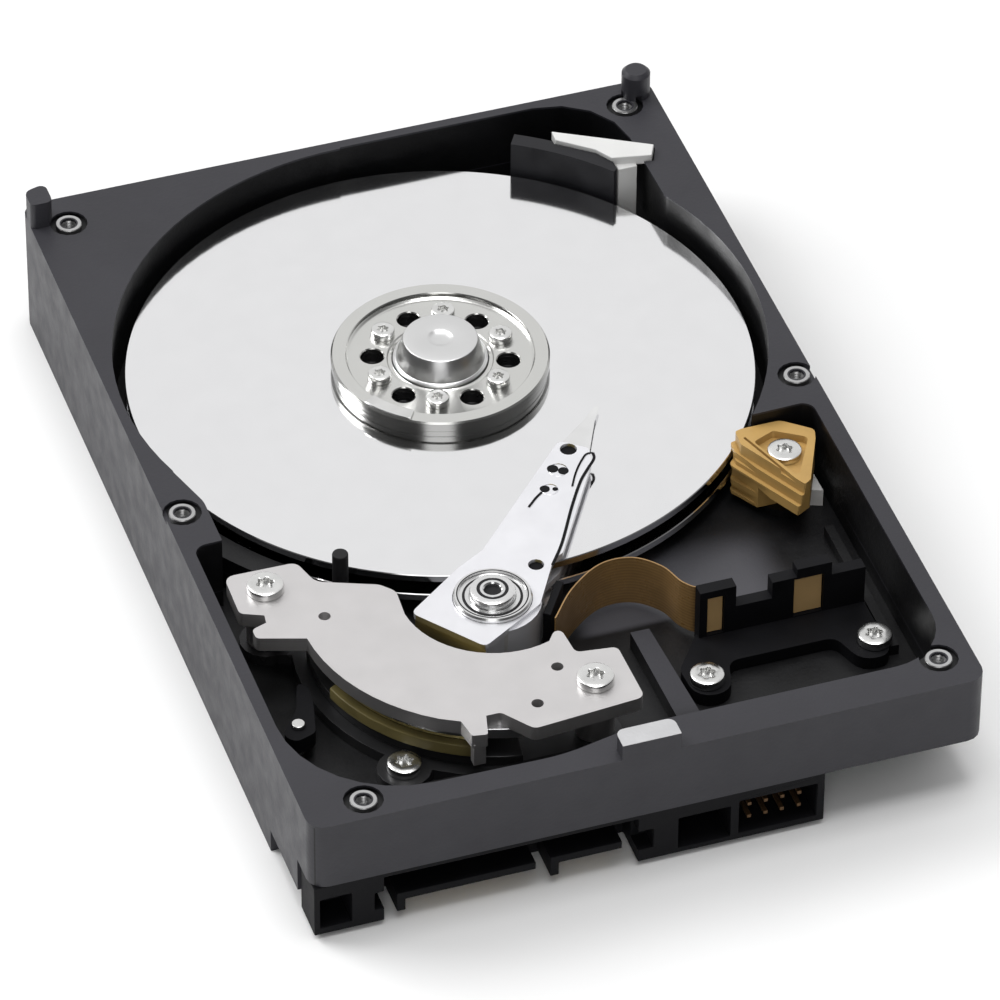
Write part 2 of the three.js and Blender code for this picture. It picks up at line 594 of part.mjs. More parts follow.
function loadRamp() {
  const foot = rounded([
    [34.4, 61.8], [34.6, 64], [36.4, 64.6], [43, 64.6, 1.5], [46, 61.5, 1], [44.5, 57.5, 1], [37, 57.5],
  ], 3);
  const steps = [[0, 14, 15.7], [0.7, 15.6, 17.5], [1.4, 17.4, 19.5]];
  const recess = rounded([
    [37.6, 61.5, 0.5], [41.2, 63, 0.8], [45.7, 60, 0.8], [41.2, 52, 0.5],
  ], 3);
  const groove = [[36.4, 62.8], [36.8, 62.9], [40.9, 51], [40.5, 50.9]];
  const slots = [[16.45, 17.75], [12.75, 15.35], [10.6, 11.75]];
  return cut(
    join(
      plate(foot, FLOOR + 1.45, 14.1),
      ...steps.map(([inset, z0, z1]) => plate(rampOutline(inset), z0, z1)),
    ),
    plate(recess, 18.2, ABOVE),
    plate(groove, 18.7, ABOVE),
    cylinder(RAMP_SCREW, 1.2, 0, ABOVE, 16),
    cylinder(SPINDLE, DISC_RADIUS + 0.5, 0, 16.8, ROUND),
    ...slots.map(([z0, z1]) => cylinder(PIVOT, BEAM_LENGTH + 3.4, z0, z1, ROUND)),
  );
}

function filterHolder() {
  const front = DISC_RADIUS + 1;
  const [from, to] = [0.667, 1.025];
  return cut(
    sector(SPINDLE, [front, front + 2.6], [from, to], [10, 21.9], 10),
    plate(filterOutline(GAP), 20.3, ABOVE),
    box([38.8, 44], [121, 130], [0, ABOVE]),
  );
}

function filterOutline(grow) {
  return [
    [31.9 - grow, 135.6 - grow], [37, 131.4 - grow], [38.7, 128.6 - grow], [44.8 + grow, 127.4 - grow],
    [46 + grow, 129.8 + grow], [32 - grow, 137.8 + grow],
  ];
}

function recirculationFilter() {
  return join(plate(filterOutline(0), 20.7, 22.4), box([39.3, 42.4], [127.2, 129.4], [10, 21]));
}

function flexBracket() {
  const base = plate(rounded([
    [14, 19.8, 3], [19.5, 19.8, 3], [21, 26, 2], [37.5, 26, 2], [39.5, 20, 3], [44.3, 20, 2],
    [44.3, 34, 1], [19.2, 34, 1], [13.6, 26.4, 3],
  ], 4), FLOOR + 0.02, FLOOR + 2.2);
  const steps = [
    [18.6, 24.2, 19.4], [23.8, 30.2, 15.5], [29.8, 34, 18.5], [33.6, 39, 20], [38.6, 44.3, 17.6],
  ];
  const wall = steps.map(([x0, x1, top]) => box([x0, x1], [32, 34], [FLOOR + 1, top]));
  const windows = [[19.8, 22.4], [33.2, 37.8]].map(
    (across) => box(across, [30, 36], [FLOOR + 2.4, 18.1]),
  );
  return cut(
    join(base, ...wall),
    ...windows,
    ...Object.values(FLEX_SCREWS).map((place) => cylinder(place, 1.2, 0, ABOVE, 16)),
  );
}

function flexCable() {
  const loop = [
    [-2.5, 35.3], [1.9, 40.6], [7.4, 44.4], [12.4, 44.4], [16, 41.2],
    [17.8, 36.8], [20.6, 34.9], [29, 34.9], [38.4, 34.9],
  ];
  return cut(ribbon(loop, 0.25, 9.2, 17.9, 30), box([24.6, 32.8], [34, 36], [15.2, ABOVE]));
}

// ---- The assembly -----------------------------------------------------------------------------

const drive = new THREE.Group();

function add(name, shape, material) {
  const { vertProperties, triVerts } = shape.getMesh();
  const geometry = new THREE.BufferGeometry();
  geometry.setAttribute("position", new THREE.BufferAttribute(vertProperties, 3));
  geometry.setIndex(new THREE.BufferAttribute(triVerts, 1));
  const mesh = new THREE.Mesh(geometry, new THREE.MeshStandardMaterial(MATERIALS[material]));
  mesh.name = name;
  drive.add(mesh);
}

add("base_casting", baseCasting(), "casting");
add("circuit_board", circuitBoard(), "board");
add("insulator_pad", insulatorPad(), "foam");
BOARD_SCREWS.forEach((place, i) => {
  const shape = turned(place, [
    [0, 0.4], [2.2, 0.4], [2.2, BOARD[0] - 0.02], [1.1, BOARD[0] - 0.02], [1.1, 5], [0, 5],
  ], 16);
  add(`board_screw_${i + 1}`, shape, "bright");
});
add("connector_housing", connectorHousing(), "black");
add("power_tongue", tongue([-38, -17.2], [1.5, 4.9]), "black");
add("data_tongue", tongue([-15, -4.2], [1.5, 5.1]), "black");
add("jumper_pins", jumperPins(), "gold");

add("motor_base", motorBase(), "satin");
add("motor_stator", motorStator(), "copper");
add("spindle_hub", spindleHub(), "aluminium");
add("disc_lower", disc(LOWER_TOP), "disc");
add("disc_spacer", discSpacer(), "aluminium");
add("disc_upper", disc(DISC_TOP), "disc");
add("disc_clamp", discClamp(), "bright");
add("hub_cap", hubCap(), "bright");
add(
  "balance_clip",
  sector(SPINDLE, [14.3, 16.3], [3.63, 4.12], [CLAMP_TOP + 0.02, CLAMP_TOP + 0.4], 6),
  "bright",
);
CLAMP_SCREW_PLACES.forEach((place, i) => {
  add(`clamp_screw_${i + 1}`, screw(place, CLAMP_FLOOR + 0.02, CLAMP_SCREW, 12), "bright");
});

add("pivot_shaft", pivotShaft(), "bright");
add("bearing_sleeve", bearingSleeve(), "bright");
add("arm_block", armBlock(), "aluminium");
add("coil_former", coilFormer(), "grey");
add("voice_coil", voiceCoil(), "copper");
add("flex_anchor", flexAnchor(), "black");
HEADS.forEach((head, i) => {
  add(`suspension_${i + 1}`, suspension(head), "bright");
  add(`head_slider_${i + 1}`, headSlider(head), "grey");
});

add("lower_magnet_plate", lowerMagnetPlate(), "satin");
add("lower_magnet", magnet(LOWER_PLATE_TOP + 0.02, LOWER_PLATE_TOP + MAGNET), "magnet");
add("upper_magnet", magnet(UPPER_PLATE_BOTTOM - MAGNET, UPPER_PLATE_BOTTOM - 0.02), "magnet");
add("upper_magnet_plate", upperMagnetPlate(), "satin");
Object.entries(PLATE_SCREWS).forEach(([side, place]) => {
  add(`plate_pillar_${side}`, pillar(place), "satin");
  add(`plate_screw_${side}`, screw(place, UPPER_PLATE_TOP + 0.02, PLATE_SCREW), "bright");
});
add(
  "lower_plate_screw",
  screw(LOWER_SCREW, LOWER_PLATE_TOP + 0.02, { ...FLOOR_SCREW, depth: 3.6 }),
  "bright",
);
add("crash_stop", cylinder(CRASH_STOP, 1.2, FLOOR - 1.9, RIM - 0.1, 16), "black");
add("latch_pin", cylinder(LATCH_PIN, 1, FLOOR - 1.9, LOWER_PLATE_TOP + 3.6, 20), "bright");
add("latch_lever", latchLever(), "grey");

add("load_ramp", loadRamp(), "ramp");
add("ramp_screw", screw(RAMP_SCREW, 18.22, { ...FLOOR_SCREW, height: 1.1, depth: 10 }), "bright");
add("filter_holder", filterHolder(), "black");
add("recirculation_filter", recirculationFilter(), "white");
add("flex_bracket", flexBracket(), "black");
Object.entries(FLEX_SCREWS).forEach(([side, place]) => {
  add(`flex_screw_${side}`, screw(place, FLOOR + 2.22, { ...FLOOR_SCREW, depth: 4 }), "bright");
});
add("flex_cable", flexCable(), "film");

drive.position.y = -LENGTH / 2;

export default drive;
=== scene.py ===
"""Looks of an open 3.5-inch hard disk drive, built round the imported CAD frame. Metres, Z up."""

import math

import bmesh
import bpy
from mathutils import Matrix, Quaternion, Vector


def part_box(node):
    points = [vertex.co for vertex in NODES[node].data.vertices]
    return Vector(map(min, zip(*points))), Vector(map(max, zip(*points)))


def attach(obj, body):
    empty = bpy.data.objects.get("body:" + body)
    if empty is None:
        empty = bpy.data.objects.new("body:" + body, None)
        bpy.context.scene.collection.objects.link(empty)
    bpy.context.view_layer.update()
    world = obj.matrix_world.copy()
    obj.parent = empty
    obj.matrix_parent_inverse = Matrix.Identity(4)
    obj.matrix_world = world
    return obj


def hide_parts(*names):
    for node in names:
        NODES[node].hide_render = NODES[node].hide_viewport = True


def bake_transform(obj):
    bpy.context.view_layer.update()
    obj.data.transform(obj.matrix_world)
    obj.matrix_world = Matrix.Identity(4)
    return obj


MM = 0.001
TAU = 2 * math.pi

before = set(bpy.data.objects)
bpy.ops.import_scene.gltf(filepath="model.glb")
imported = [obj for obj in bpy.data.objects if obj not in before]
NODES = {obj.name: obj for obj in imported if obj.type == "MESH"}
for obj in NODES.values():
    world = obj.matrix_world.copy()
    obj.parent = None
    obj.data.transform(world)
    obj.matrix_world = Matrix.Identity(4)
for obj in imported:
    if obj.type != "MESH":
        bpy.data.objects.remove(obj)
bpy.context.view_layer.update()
SCENE = bpy.context.scene


def middle(node):
    """Centre of a CAD node in plan, with its lowest and highest height and half its width."""
    low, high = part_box(node)
    return Vector(((low.x + high.x) / 2, (low.y + high.y) / 2)), low.z, high.z, (high.x - low.x) / 2


# Places in the drive. RIM is the top of the casting, FLOOR its inner floor, and RIB_TOP the top of
# the straight rib beside the flex bracket. ARM_ANGLE is the way the arm points at rest.
SPINDLE = middle("disc_upper")[0]
PIVOT = middle("bearing_sleeve")[0]
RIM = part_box("crash_stop")[1].z + 0.1 * MM
FLOOR = 8.6 * MM
RIB_TOP = 11.6 * MM
ARM_ANGLE = math.radians(52)

# Threaded holes for the cover's screws, in millimetres from the middle of the case.
COVER_HOLES = [(-45, 67.1), (45.4, 68.1), (-48.1, -2.8), (48.2, -1.5), (-41.8, -69.6), (45.6, -67.3)]

# The flexible cable's way from the arm to the bracket, in millimetres, and the stretch in which its
# top edge lies lower, behind the bracket's notch.
CABLE_ROUTE = [
    (-2.5, -38.2), (1.9, -32.9), (7.4, -29.1), (12.4, -29.1), (16, -32.3), (17.8, -36.7), (20.6, -38.6),
    (29, -38.6), (38.4, -38.6),
]
CABLE_THICKNESS = 0.2 * MM
NOTCH_START = 24 * MM
NOTCH_END = 34.6 * MM
NOTCH_DEPTH = 4.6 * MM


# ---- Camera, floor and light ------------------------------------------------------------------

CAMERA_PLACE = Vector((-0.2847, -0.8369, 0.7739))
CAMERA_HEADING = math.radians(18.91)
CAMERA_TILT = math.radians(40.89)
CAMERA_ROLL = math.radians(0.415)
CAMERA_LENS = 282.2
SENSOR_WIDTH = 36


def add_camera():
    """The camera the scene is seen through, aimed by a heading, a tilt and a roll."""
    data = bpy.data.cameras.new("camera")
    data.lens = CAMERA_LENS
    data.sensor_width = SENSOR_WIDTH
    data.clip_start = 0.05
    data.clip_end = 20
    camera = bpy.data.objects.new("camera", data)
    flat = math.cos(CAMERA_TILT)
    east, north = flat * math.sin(CAMERA_HEADING), flat * math.cos(CAMERA_HEADING)
    forward = Vector((east, north, -math.sin(CAMERA_TILT)))
    camera.rotation_mode = "QUATERNION"
    camera.rotation_quaternion = forward.to_track_quat("-Z", "Y") @ Quaternion((0, 0, 1), CAMERA_ROLL)
    camera.location = CAMERA_PLACE
    SCENE.collection.objects.link(camera)
    SCENE.camera = camera


def add_area_light(name, place, side, power):
    """A square white light, aimed at the middle of the drive's underside."""
    data = bpy.data.lights.new(name, "AREA")
    data.shape = "RECTANGLE"
    data.size, data.size_y = side, side
    data.energy = power
    light = bpy.data.objects.new(name, data)
    light.location = place
    light.rotation_mode = "QUATERNION"
    light.rotation_quaternion = (-Vector(place)).to_track_quat("-Z", "Y")
    SCENE.collection.objects.link(light)


def add_world():
    """A pale studio, dark behind the camera but for one narrow bright strip, as round metal shows it."""
    world = bpy.data.worlds.new("studio")
    SCENE.world = world
    world.use_nodes = True
    tree = world.node_tree
    background = tree.nodes["Background"]
    place = tree.nodes.new("ShaderNodeTexCoord").outputs["Generated"]
    flat = tree.nodes.new("ShaderNodeVectorMath")
    flat.operation = "MULTIPLY"
    flat.inputs[1].default_value = (1, 1, 0)
    wire(tree, place, flat.inputs[0])
    unit = tree.nodes.new("ShaderNodeVectorMath")
    unit.operation = "NORMALIZE"
    wire(tree, flat.outputs[0], unit.inputs[0])
    towards = tree.nodes.new("ShaderNodeVectorMath")
    towards.operation = "DOT_PRODUCT"
    towards.inputs[1].default_value = (-math.sin(CAMERA_HEADING), -math.cos(CAMERA_HEADING), 0)
    wire(tree, unit.outputs[0], towards.inputs[0])
    share = math_node(tree, "ADD", math_node(tree, "MULTIPLY", towards.outputs["Value"], 0.5), 0.5)
    levels = [(0, 0.86), (0.14, 0.82), (0.36, 0.2), (0.976, 0.04), (0.987, 1.6), (1, 1.6)]
    around = ramp_node(tree, share, levels)
    split = tree.nodes.new("ShaderNodeSeparateXYZ")
    wire(tree, place, split.inputs[0])
    overhead = span(tree, split.outputs["Z"], 0.8, 0.97)
    wire(tree, mix(tree, overhead, around, (0.9, 0.9, 0.9)), background.inputs["Color"])
    background.inputs["Strength"].default_value = 1.0


def add_floor():
    """A wide pale floor just under the drive."""
    mesh = bpy.data.meshes.new("floor")
    half = 3
    drop = 0.05 * MM
    corners = [(x * half, y * half, -drop) for x, y in ((-1, -1), (1, -1), (1, 1), (-1, 1))]
    mesh.from_pydata(corners, [], [(0, 1, 2, 3)])
    floor = bpy.data.objects.new("floor", mesh)
    SCENE.collection.objects.link(floor)
    mesh.materials.append(surface("pale_floor", (0.93, 0.93, 0.93), 0.9, grain=(40, 0.015)))


# ---- Materials --------------------------------------------------------------------------------


def wire(tree, source, target):
    """Links one node's output to another node's input."""
    tree.links.new(source, target)


def new_material(name):
    """A material with its node tree, its main shader and its object coordinates."""
    material = bpy.data.materials.new(name)
    material.use_nodes = True
    tree = material.node_tree
    shader = tree.nodes["Principled BSDF"]
    coords = tree.nodes.new("ShaderNodeTexCoord").outputs["Object"]
    return material, tree, shader, coords


def noise(tree, coords, scale, detail):
    """Smooth noise, mostly between 0.3 and 0.7."""
    node = tree.nodes.new("ShaderNodeTexNoise")
    node.inputs["Scale"].default_value = scale
    node.inputs["Detail"].default_value = detail
    wire(tree, coords, node.inputs["Vector"])
    return node.outputs["Fac"]


def spread(tree, value, low, high):
    """Maps a value from about 0.3..0.7 to low..high."""
    node = tree.nodes.new("ShaderNodeMapRange")
    node.inputs["From Min"].default_value = 0.3
    node.inputs["From Max"].default_value = 0.7
    node.inputs["To Min"].default_value = low
    node.inputs["To Max"].default_value = high
    wire(tree, value, node.inputs["Value"])
    return node.outputs[0]


def span(tree, value, low, high):
    """Maps a value from low..high to 0..1, held at both ends."""
    node = tree.nodes.new("ShaderNodeMapRange")
    node.interpolation_type = "SMOOTHSTEP"
    node.inputs["From Min"].default_value = low
    node.inputs["From Max"].default_value = high
    wire(tree, value, node.inputs["Value"])
    return node.outputs[0]


def ramp_node(tree, value, stops):
    """A grey ramp through (position, brightness) stops."""
    node = tree.nodes.new("ShaderNodeValToRGB")
    elements = node.color_ramp.elements
    for position, _ in stops[2:]:
        elements.new(position)
    for element, (position, level) in zip(elements, stops):
        element.position = position
        element.color = (level, level, level, 1)
    wire(tree, value, node.inputs[0])
    return node.outputs[0]


def mix(tree, factor, first, second):
    """A colour between two, each given as a value or as a node's output."""
    node = tree.nodes.new("ShaderNodeMix")
    node.data_type = "RGBA"
    for value, socket in ((factor, node.inputs[0]), (first, node.inputs[6]), (second, node.inputs[7])):
        if isinstance(value, (tuple, list)):
            socket.default_value = (*value, 1)
        elif isinstance(value, (int, float)):
            socket.default_value = value
        else:
            wire(tree, value, socket)
    return node.outputs[2]


def math_node(tree, operation, first, second=None):
    """One arithmetic step on numbers or nodes' outputs."""
    node = tree.nodes.new("ShaderNodeMath")
    node.operation = operation
    for value, socket in ((first, node.inputs[0]), (second, node.inputs[1])):
        if value is None:
            continue
        if isinstance(value, (int, float)):
            socket.default_value = value
        else:
            wire(tree, value, socket)
    return node.outputs[0]


def product(tree, *values):
    """The product of several shader values."""
    result = values[0]
    for value in values[1:]:
        result = math_node(tree, "MULTIPLY", result, value)
    return result


def bump(tree, shader, height, distance):
    """Adds a relief of a given depth to a shader."""
    node = tree.nodes.new("ShaderNodeBump")
    node.inputs["Distance"].default_value = distance
    node.inputs["Strength"].default_value = 1.0
    wire(tree, height, node.inputs["Height"])
    wire(tree, node.outputs[0], shader.inputs["Normal"])


def surface(
        name, colour, roughness, metallic=0.0, grain=(2500, 0.02), tint=0.12, rough_spread=0.08,
        shine=0.25):
    """The common finish: a base colour that varies a little, uneven roughness and a fine relief.
    grain is the relief's scale and its depth in millimetres."""
    material, tree, shader, coords = new_material(name)
    scale, depth = grain
    broad = noise(tree, coords, scale / 12, 4)
    fine = noise(tree, coords, scale, 2)
    dark = tuple(c * (1 - tint) for c in colour)
    light = tuple(min(1, c * (1 + tint)) for c in colour)
    wire(tree, mix(tree, spread(tree, broad, 0, 1), dark, light), shader.inputs["Base Color"])
    uneven = spread(tree, broad, roughness - rough_spread, roughness + rough_spread)
    wire(tree, uneven, shader.inputs["Roughness"])
    shader.inputs["Metallic"].default_value = metallic
    shader.inputs["Specular IOR Level"].default_value = shine
    bump(tree, shader, fine, depth * MM)
    return material


def casting_paint():
    """Dark grey coat outside; inside, painted shade of near black, but for painted light on the floor by the
    flex and the rib's top; a machined lug top.
    """
    material, tree, shader, coords = new_material("casting_paint")
    split = tree.nodes.new("ShaderNodeSeparateXYZ")
    wire(tree, coords, split.inputs[0])
    x, y, z = split.outputs
    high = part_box("base_casting")[1]
    wall = 0.7 * MM
    # The well's inner walls and floor: here the coat gets a painted shade of near black.
    inside = product(
        tree,
        math_node(tree, "LESS_THAN", math_node(tree, "ABSOLUTE", x), high.x - wall),
        math_node(tree, "LESS_THAN", math_node(tree, "ABSOLUTE", y), high.y - wall),
        math_node(tree, "GREATER_THAN", z, FLOOR - 0.3 * MM),
        math_node(tree, "LESS_THAN", z, RIM - 0.35 * MM))
    # Painted light: a lit patch of floor by the flex, lighter grey and kept out of the painted shade.
    floor = product(
        tree,
        span(tree, x, 2 * MM, 6 * MM),
        span(tree, y, -34.5 * MM, -33 * MM),
        span(tree, y, -17 * MM, -25 * MM),
        span(tree, x, 38 * MM, 30 * MM),
        math_node(tree, "LESS_THAN", z, FLOOR + 0.1 * MM))
    # Painted light: the rib's top is left out of the painted shade, as lit.
    lit_rib_top = product(
        tree,
        math_node(tree, "GREATER_THAN", z, RIB_TOP - 0.08 * MM),
        math_node(tree, "LESS_THAN", z, RIB_TOP + 0.1 * MM),
        span(tree, y, -59.5 * MM, -55 * MM))
    # dark: where the painted shade goes, everywhere inside but on the painted lit floor and rib top.
    dark = product(tree, inside, math_node(tree, "SUBTRACT", 1, math_node(tree, "MAXIMUM", floor, lit_rib_top)))
    machined = product(
        tree,
        math_node(tree, "GREATER_THAN", z, RIM + 2.7 * MM),
        math_node(tree, "LESS_THAN", y, 0.0))
    broad = noise(tree, coords, 60, 4)
    outer = mix(tree, spread(tree, broad, 0, 1), (0.027, 0.0265, 0.032), (0.033, 0.0325, 0.039))
    # inner: the near-black colour of the painted shade.
    inner = mix(tree, spread(tree, broad, 0, 1), (0.003, 0.003, 0.0035), (0.005, 0.005, 0.006))
    coat_and_painted_shade = mix(tree, dark, outer, inner)
    # The painted lit floor patch takes a lighter grey than the coat.
    coat_with_painted_shade_and_light = mix(tree, floor, coat_and_painted_shade, (0.07, 0.07, 0.08))
    wire(tree, mix(tree, machined, coat_with_painted_shade_and_light, (0.62, 0.62, 0.63)), shader.inputs["Base Color"])
    wire(tree, machined, shader.inputs["Metallic"])
    shader.inputs["Specular IOR Level"].default_value = 0.34
    wire(tree, spread(tree, noise(tree, coords, 300, 3), 0.4, 0.52), shader.inputs["Roughness"])
    bump(tree, shader, noise(tree, coords, 1900, 3), 0.035 * MM)
    return material


def arm_finish():
    """Bright aluminium, with a painted golden reflection of the coil on the end face that turns towards it.
    """
    material, tree, shader, coords = new_material("arm_finish")
    normal = tree.nodes.new("ShaderNodeTexCoord").outputs["Normal"]
    facing = tree.nodes.new("ShaderNodeVectorMath")
    facing.operation = "DOT_PRODUCT"
    facing.inputs[1].default_value = (-math.cos(ARM_ANGLE), -math.sin(ARM_ANGLE), 0)
    wire(tree, normal, facing.inputs[0])
    # Painted reflection: faces turned to the coil take its golden colour.
    painted_coil_reflection = span(tree, facing.outputs["Value"], 0.8, 0.95)
    broad = noise(tree, coords, 200, 3)
    metal = mix(tree, spread(tree, broad, 0, 1), (0.79, 0.79, 0.82), (0.83, 0.83, 0.86))
    wire(tree, mix(tree, painted_coil_reflection, metal, (0.42, 0.35, 0.17)), shader.inputs["Base Color"])
    wire(tree, spread(tree, broad, 0.3, 0.4), shader.inputs["Roughness"])
    shader.inputs["Metallic"].default_value = 0.6
    bump(tree, shader, noise(tree, coords, 2600, 2), 0.004 * MM)
    return material


def turned_metal(name, colour, roughness, centre, pitch=0.12, depth=0.004, shaded_side_share=1.0):
    """Bright metal with the fine rings that a lathe leaves; upright faces keep only a share of the colour, a
    painted shade on the sides.
    """
    material, tree, shader, coords = new_material(name)
    mapping = tree.nodes.new("ShaderNodeMapping")
    mapping.inputs["Location"].default_value = (-centre.x, -centre.y, 0)
    mapping.inputs["Scale"].default_value = (1, 1, 0.35)
    wire(tree, coords, mapping.inputs["Vector"])
    rings = tree.nodes.new("ShaderNodeTexWave")
    rings.wave_type = "RINGS"
    rings.rings_direction = "SPHERICAL"
    rings.inputs["Scale"].default_value = 0.32 / (pitch * MM)
    rings.inputs["Distortion"].default_value = 0.6
    wire(tree, mapping.outputs[0], rings.inputs["Vector"])
    broad = noise(tree, coords, 220, 3)
    dark = tuple(c * 0.98 for c in colour)
    base = mix(tree, spread(tree, broad, 0, 1), dark, colour)
    geometry = tree.nodes.new("ShaderNodeNewGeometry")
    facing = tree.nodes.new("ShaderNodeSeparateXYZ")
    wire(tree, geometry.outputs["Normal"], facing.inputs[0])
    # Painted shade: upright faces keep only a share of the colour, so the sides are darker.
    flatness = span(tree, facing.outputs["Z"], 0.1, 0.75)
    base = mix(tree, flatness, tuple(c * shaded_side_share for c in colour), base)
    wire(tree, base, shader.inputs["Base Color"])
    wire(tree, spread(tree, broad, roughness - 0.01, roughness + 0.01), shader.inputs["Roughness"])
    shader.inputs["Metallic"].default_value = 1
    bump(tree, shader, rings.outputs["Fac"], depth * MM)
    return material


def banded(name, colours, roughness, metallic, pitch, depth):
    """Fine parallel level bands, for coil windings and for the copper tracks under a film."""
    material, tree, shader, coords = new_material(name)
    bands = tree.nodes.new("ShaderNodeTexWave")
    bands.wave_type = "BANDS"
    bands.bands_direction = "Z"
    bands.inputs["Scale"].default_value = 0.314 / (pitch * MM)
    bands.inputs["Distortion"].default_value = 0.3
    wire(tree, coords, bands.inputs["Vector"])
    broad = noise(tree, coords, 350, 3)
    base = mix(tree, bands.outputs["Fac"], *colours)
    dull = tuple(c * 0.6 for c in colours[0])
    wire(tree, mix(tree, spread(tree, broad, 0, 0.35), base, dull), shader.inputs["Base Color"])
    wire(tree, spread(tree, broad, roughness - 0.06, roughness + 0.06), shader.inputs["Roughness"])
    shader.inputs["Metallic"].default_value = metallic
    bump(tree, shader, bands.outputs["Fac"], depth * MM)
    return material


def board_finish():
    """Green solder mask over copper tracks: the tracks stand a little proud and show lighter."""
    material, tree, shader, coords = new_material("solder_mask")
    bricks = tree.nodes.new("ShaderNodeTexBrick")
    bricks.inputs["Scale"].default_value = 260
    bricks.inputs["Mortar Size"].default_value = 0.09
    bricks.inputs["Brick Width"].default_value = 2.6
    bricks.inputs["Row Height"].default_value = 0.21
    bricks.offset = 0.37
    wire(tree, coords, bricks.inputs["Vector"])
    broad = noise(tree, coords, 120, 3)
    pour = math_node(tree, "GREATER_THAN", broad, 0.52)
    tracks = math_node(tree, "MAXIMUM", pour, bricks.outputs["Fac"])
    wire(tree, mix(tree, tracks, (0.008, 0.06, 0.028), (0.014, 0.105, 0.045)), shader.inputs["Base Color"])
    wire(tree, spread(tree, noise(tree, coords, 900, 2), 0.22, 0.34), shader.inputs["Roughness"])
    shader.inputs["Coat Weight"].default_value = 0.4
    bump(tree, shader, tracks, 0.03 * MM)
    return material


# ---- Mesh helpers -----------------------------------------------------------------------------

SHARP = math.radians(32)


def shade(bm):
    """Smooth faces, with a crisp shade break wherever two faces meet at more than SHARP."""
    for face in bm.faces:
        face.smooth = True
    for edge in bm.edges:
        edge.smooth = edge.calc_face_angle(0) < SHARP


def piece(name, bm, body, material, stands_for=()):
    """Turns mesh data into a piece that rides on a body and takes the place of CAD nodes."""
    bmesh.ops.remove_doubles(bm, verts=bm.verts, dist=1e-7)
    bmesh.ops.recalc_face_normals(bm, faces=bm.faces)
    shade(bm)
    mesh = bpy.data.meshes.new(name)
    bm.to_mesh(mesh)
    bm.free()
    mesh.materials.append(material)
    obj = bpy.data.objects.new(name, mesh)
    SCENE.collection.objects.link(obj)
    if body:
        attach(obj, body)
    if stands_for:
        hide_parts(*stands_for)
    return obj


def ring(bm, centre, radius, z, segments):
    """A ring of points round a vertical axis; radius is a number or a function of the angle."""
    if radius == 0:
        return [bm.verts.new((centre.x, centre.y, z))]
    points = []
    for i in range(segments):
        angle = TAU * i / segments
        r = radius(angle) if callable(radius) else radius
        points.append(bm.verts.new((centre.x + r * math.cos(angle), centre.y + r * math.sin(angle), z)))
    return points


def lathe(bm, centre, profile, segments):
    """Adds a solid of revolution; the profile [(radius, z), ...] runs axis to axis, or closes on itself."""
    rings = [ring(bm, centre, radius, z, segments) for radius, z in profile]
    if len(rings[0]) > 1:
        rings.append(rings[0])
    for lower, upper in zip(rings, rings[1:]):
        for i in range(segments):
            j = (i + 1) % segments
            below = [lower[i % len(lower)], lower[j % len(lower)]]
            above = [upper[j % len(upper)], upper[i % len(upper)]]
            corners = [*below, *above]
            unique = list(dict.fromkeys(corners))
            if len(unique) > 2:
                bm.faces.new(unique)
    return bm


def washer(bm, centre, inner, outer, start, end, segments):
    """Adds a flat ring between two radii and two heights, or a round plate where inner is 0."""
    return lathe(bm, centre, [(inner, start), (outer, start), (outer, end), (inner, end)], segments)


def prism(bm, outline, low, high):
    """Adds an extruded outline of (x, y) points between two heights."""
    bottom = [bm.verts.new((x, y, low)) for x, y in outline]
    top = [bm.verts.new((x, y, high)) for x, y in outline]
    bm.faces.new(bottom[::-1])
    bm.faces.new(top)
    for i in range(len(outline)):
        j = (i + 1) % len(outline)
        bm.faces.new((bottom[i], bottom[j], top[j], top[i]))
    return bm


def strip(bm, points, width, low, high):
    """Adds a flat band of a given width along (x, y) points, between two heights."""
    left, right = [], []
    for i, point in enumerate(points):
        along = (points[min(i + 1, len(points) - 1)] - points[max(i - 1, 0)]).normalized()
        side = Vector((-along.y, along.x)) * width / 2
        left.append(point + side)
        right.append(point - side)
    return prism(bm, [(p.x, p.y) for p in right + left[::-1]], low, high)


def smooth_path(points, per_span=8):
    """A Catmull-Rom curve through (x, y) points."""
    path = []
    ends = [points[0] * 2 - points[1], *points, points[-1] * 2 - points[-2]]
    for a, b, c, d in zip(ends, ends[1:], ends[2:], ends[3:]):
        for i in range(per_span):
            t = i / per_span
            path.append(0.5 * (2 * b + (c - a) * t + (2 * a - 5 * b + 4 * c - d) * t * t
                               + (3 * b - a - 3 * c + d) * t * t * t))
    return [*path, points[-1]]


def cuboid(bm, low, high):
    """Adds a box between two corners."""
    (x0, y0, z0), (x1, y1, z1) = low, high
    return prism(bm, [(x0, y0), (x1, y0), (x1, y1), (x0, y1)], z0, z1)


def round_edges(obj, width, segments=2):
    """Rounds every edge sharper than SHARP by a width in millimetres, with modifiers only."""
    weld = obj.modifiers.new("weld", "WELD")
    weld.merge_threshold = 1e-6
    flat = obj.modifiers.new("flat", "DECIMATE")
    flat.decimate_type = "DISSOLVE"
    flat.angle_limit = math.radians(0.8)
    bevel = obj.modifiers.new("bevel", "BEVEL")
    bevel.width = width * MM
    bevel.segments = segments
    bevel.limit_method = "ANGLE"
    bevel.angle_limit = SHARP
    bevel.use_clamp_overlap = True
    bevel.miter_outer = "MITER_ARC"
    normals = obj.modifiers.new("normals", "WEIGHTED_NORMAL")
    normals.keep_sharp = True


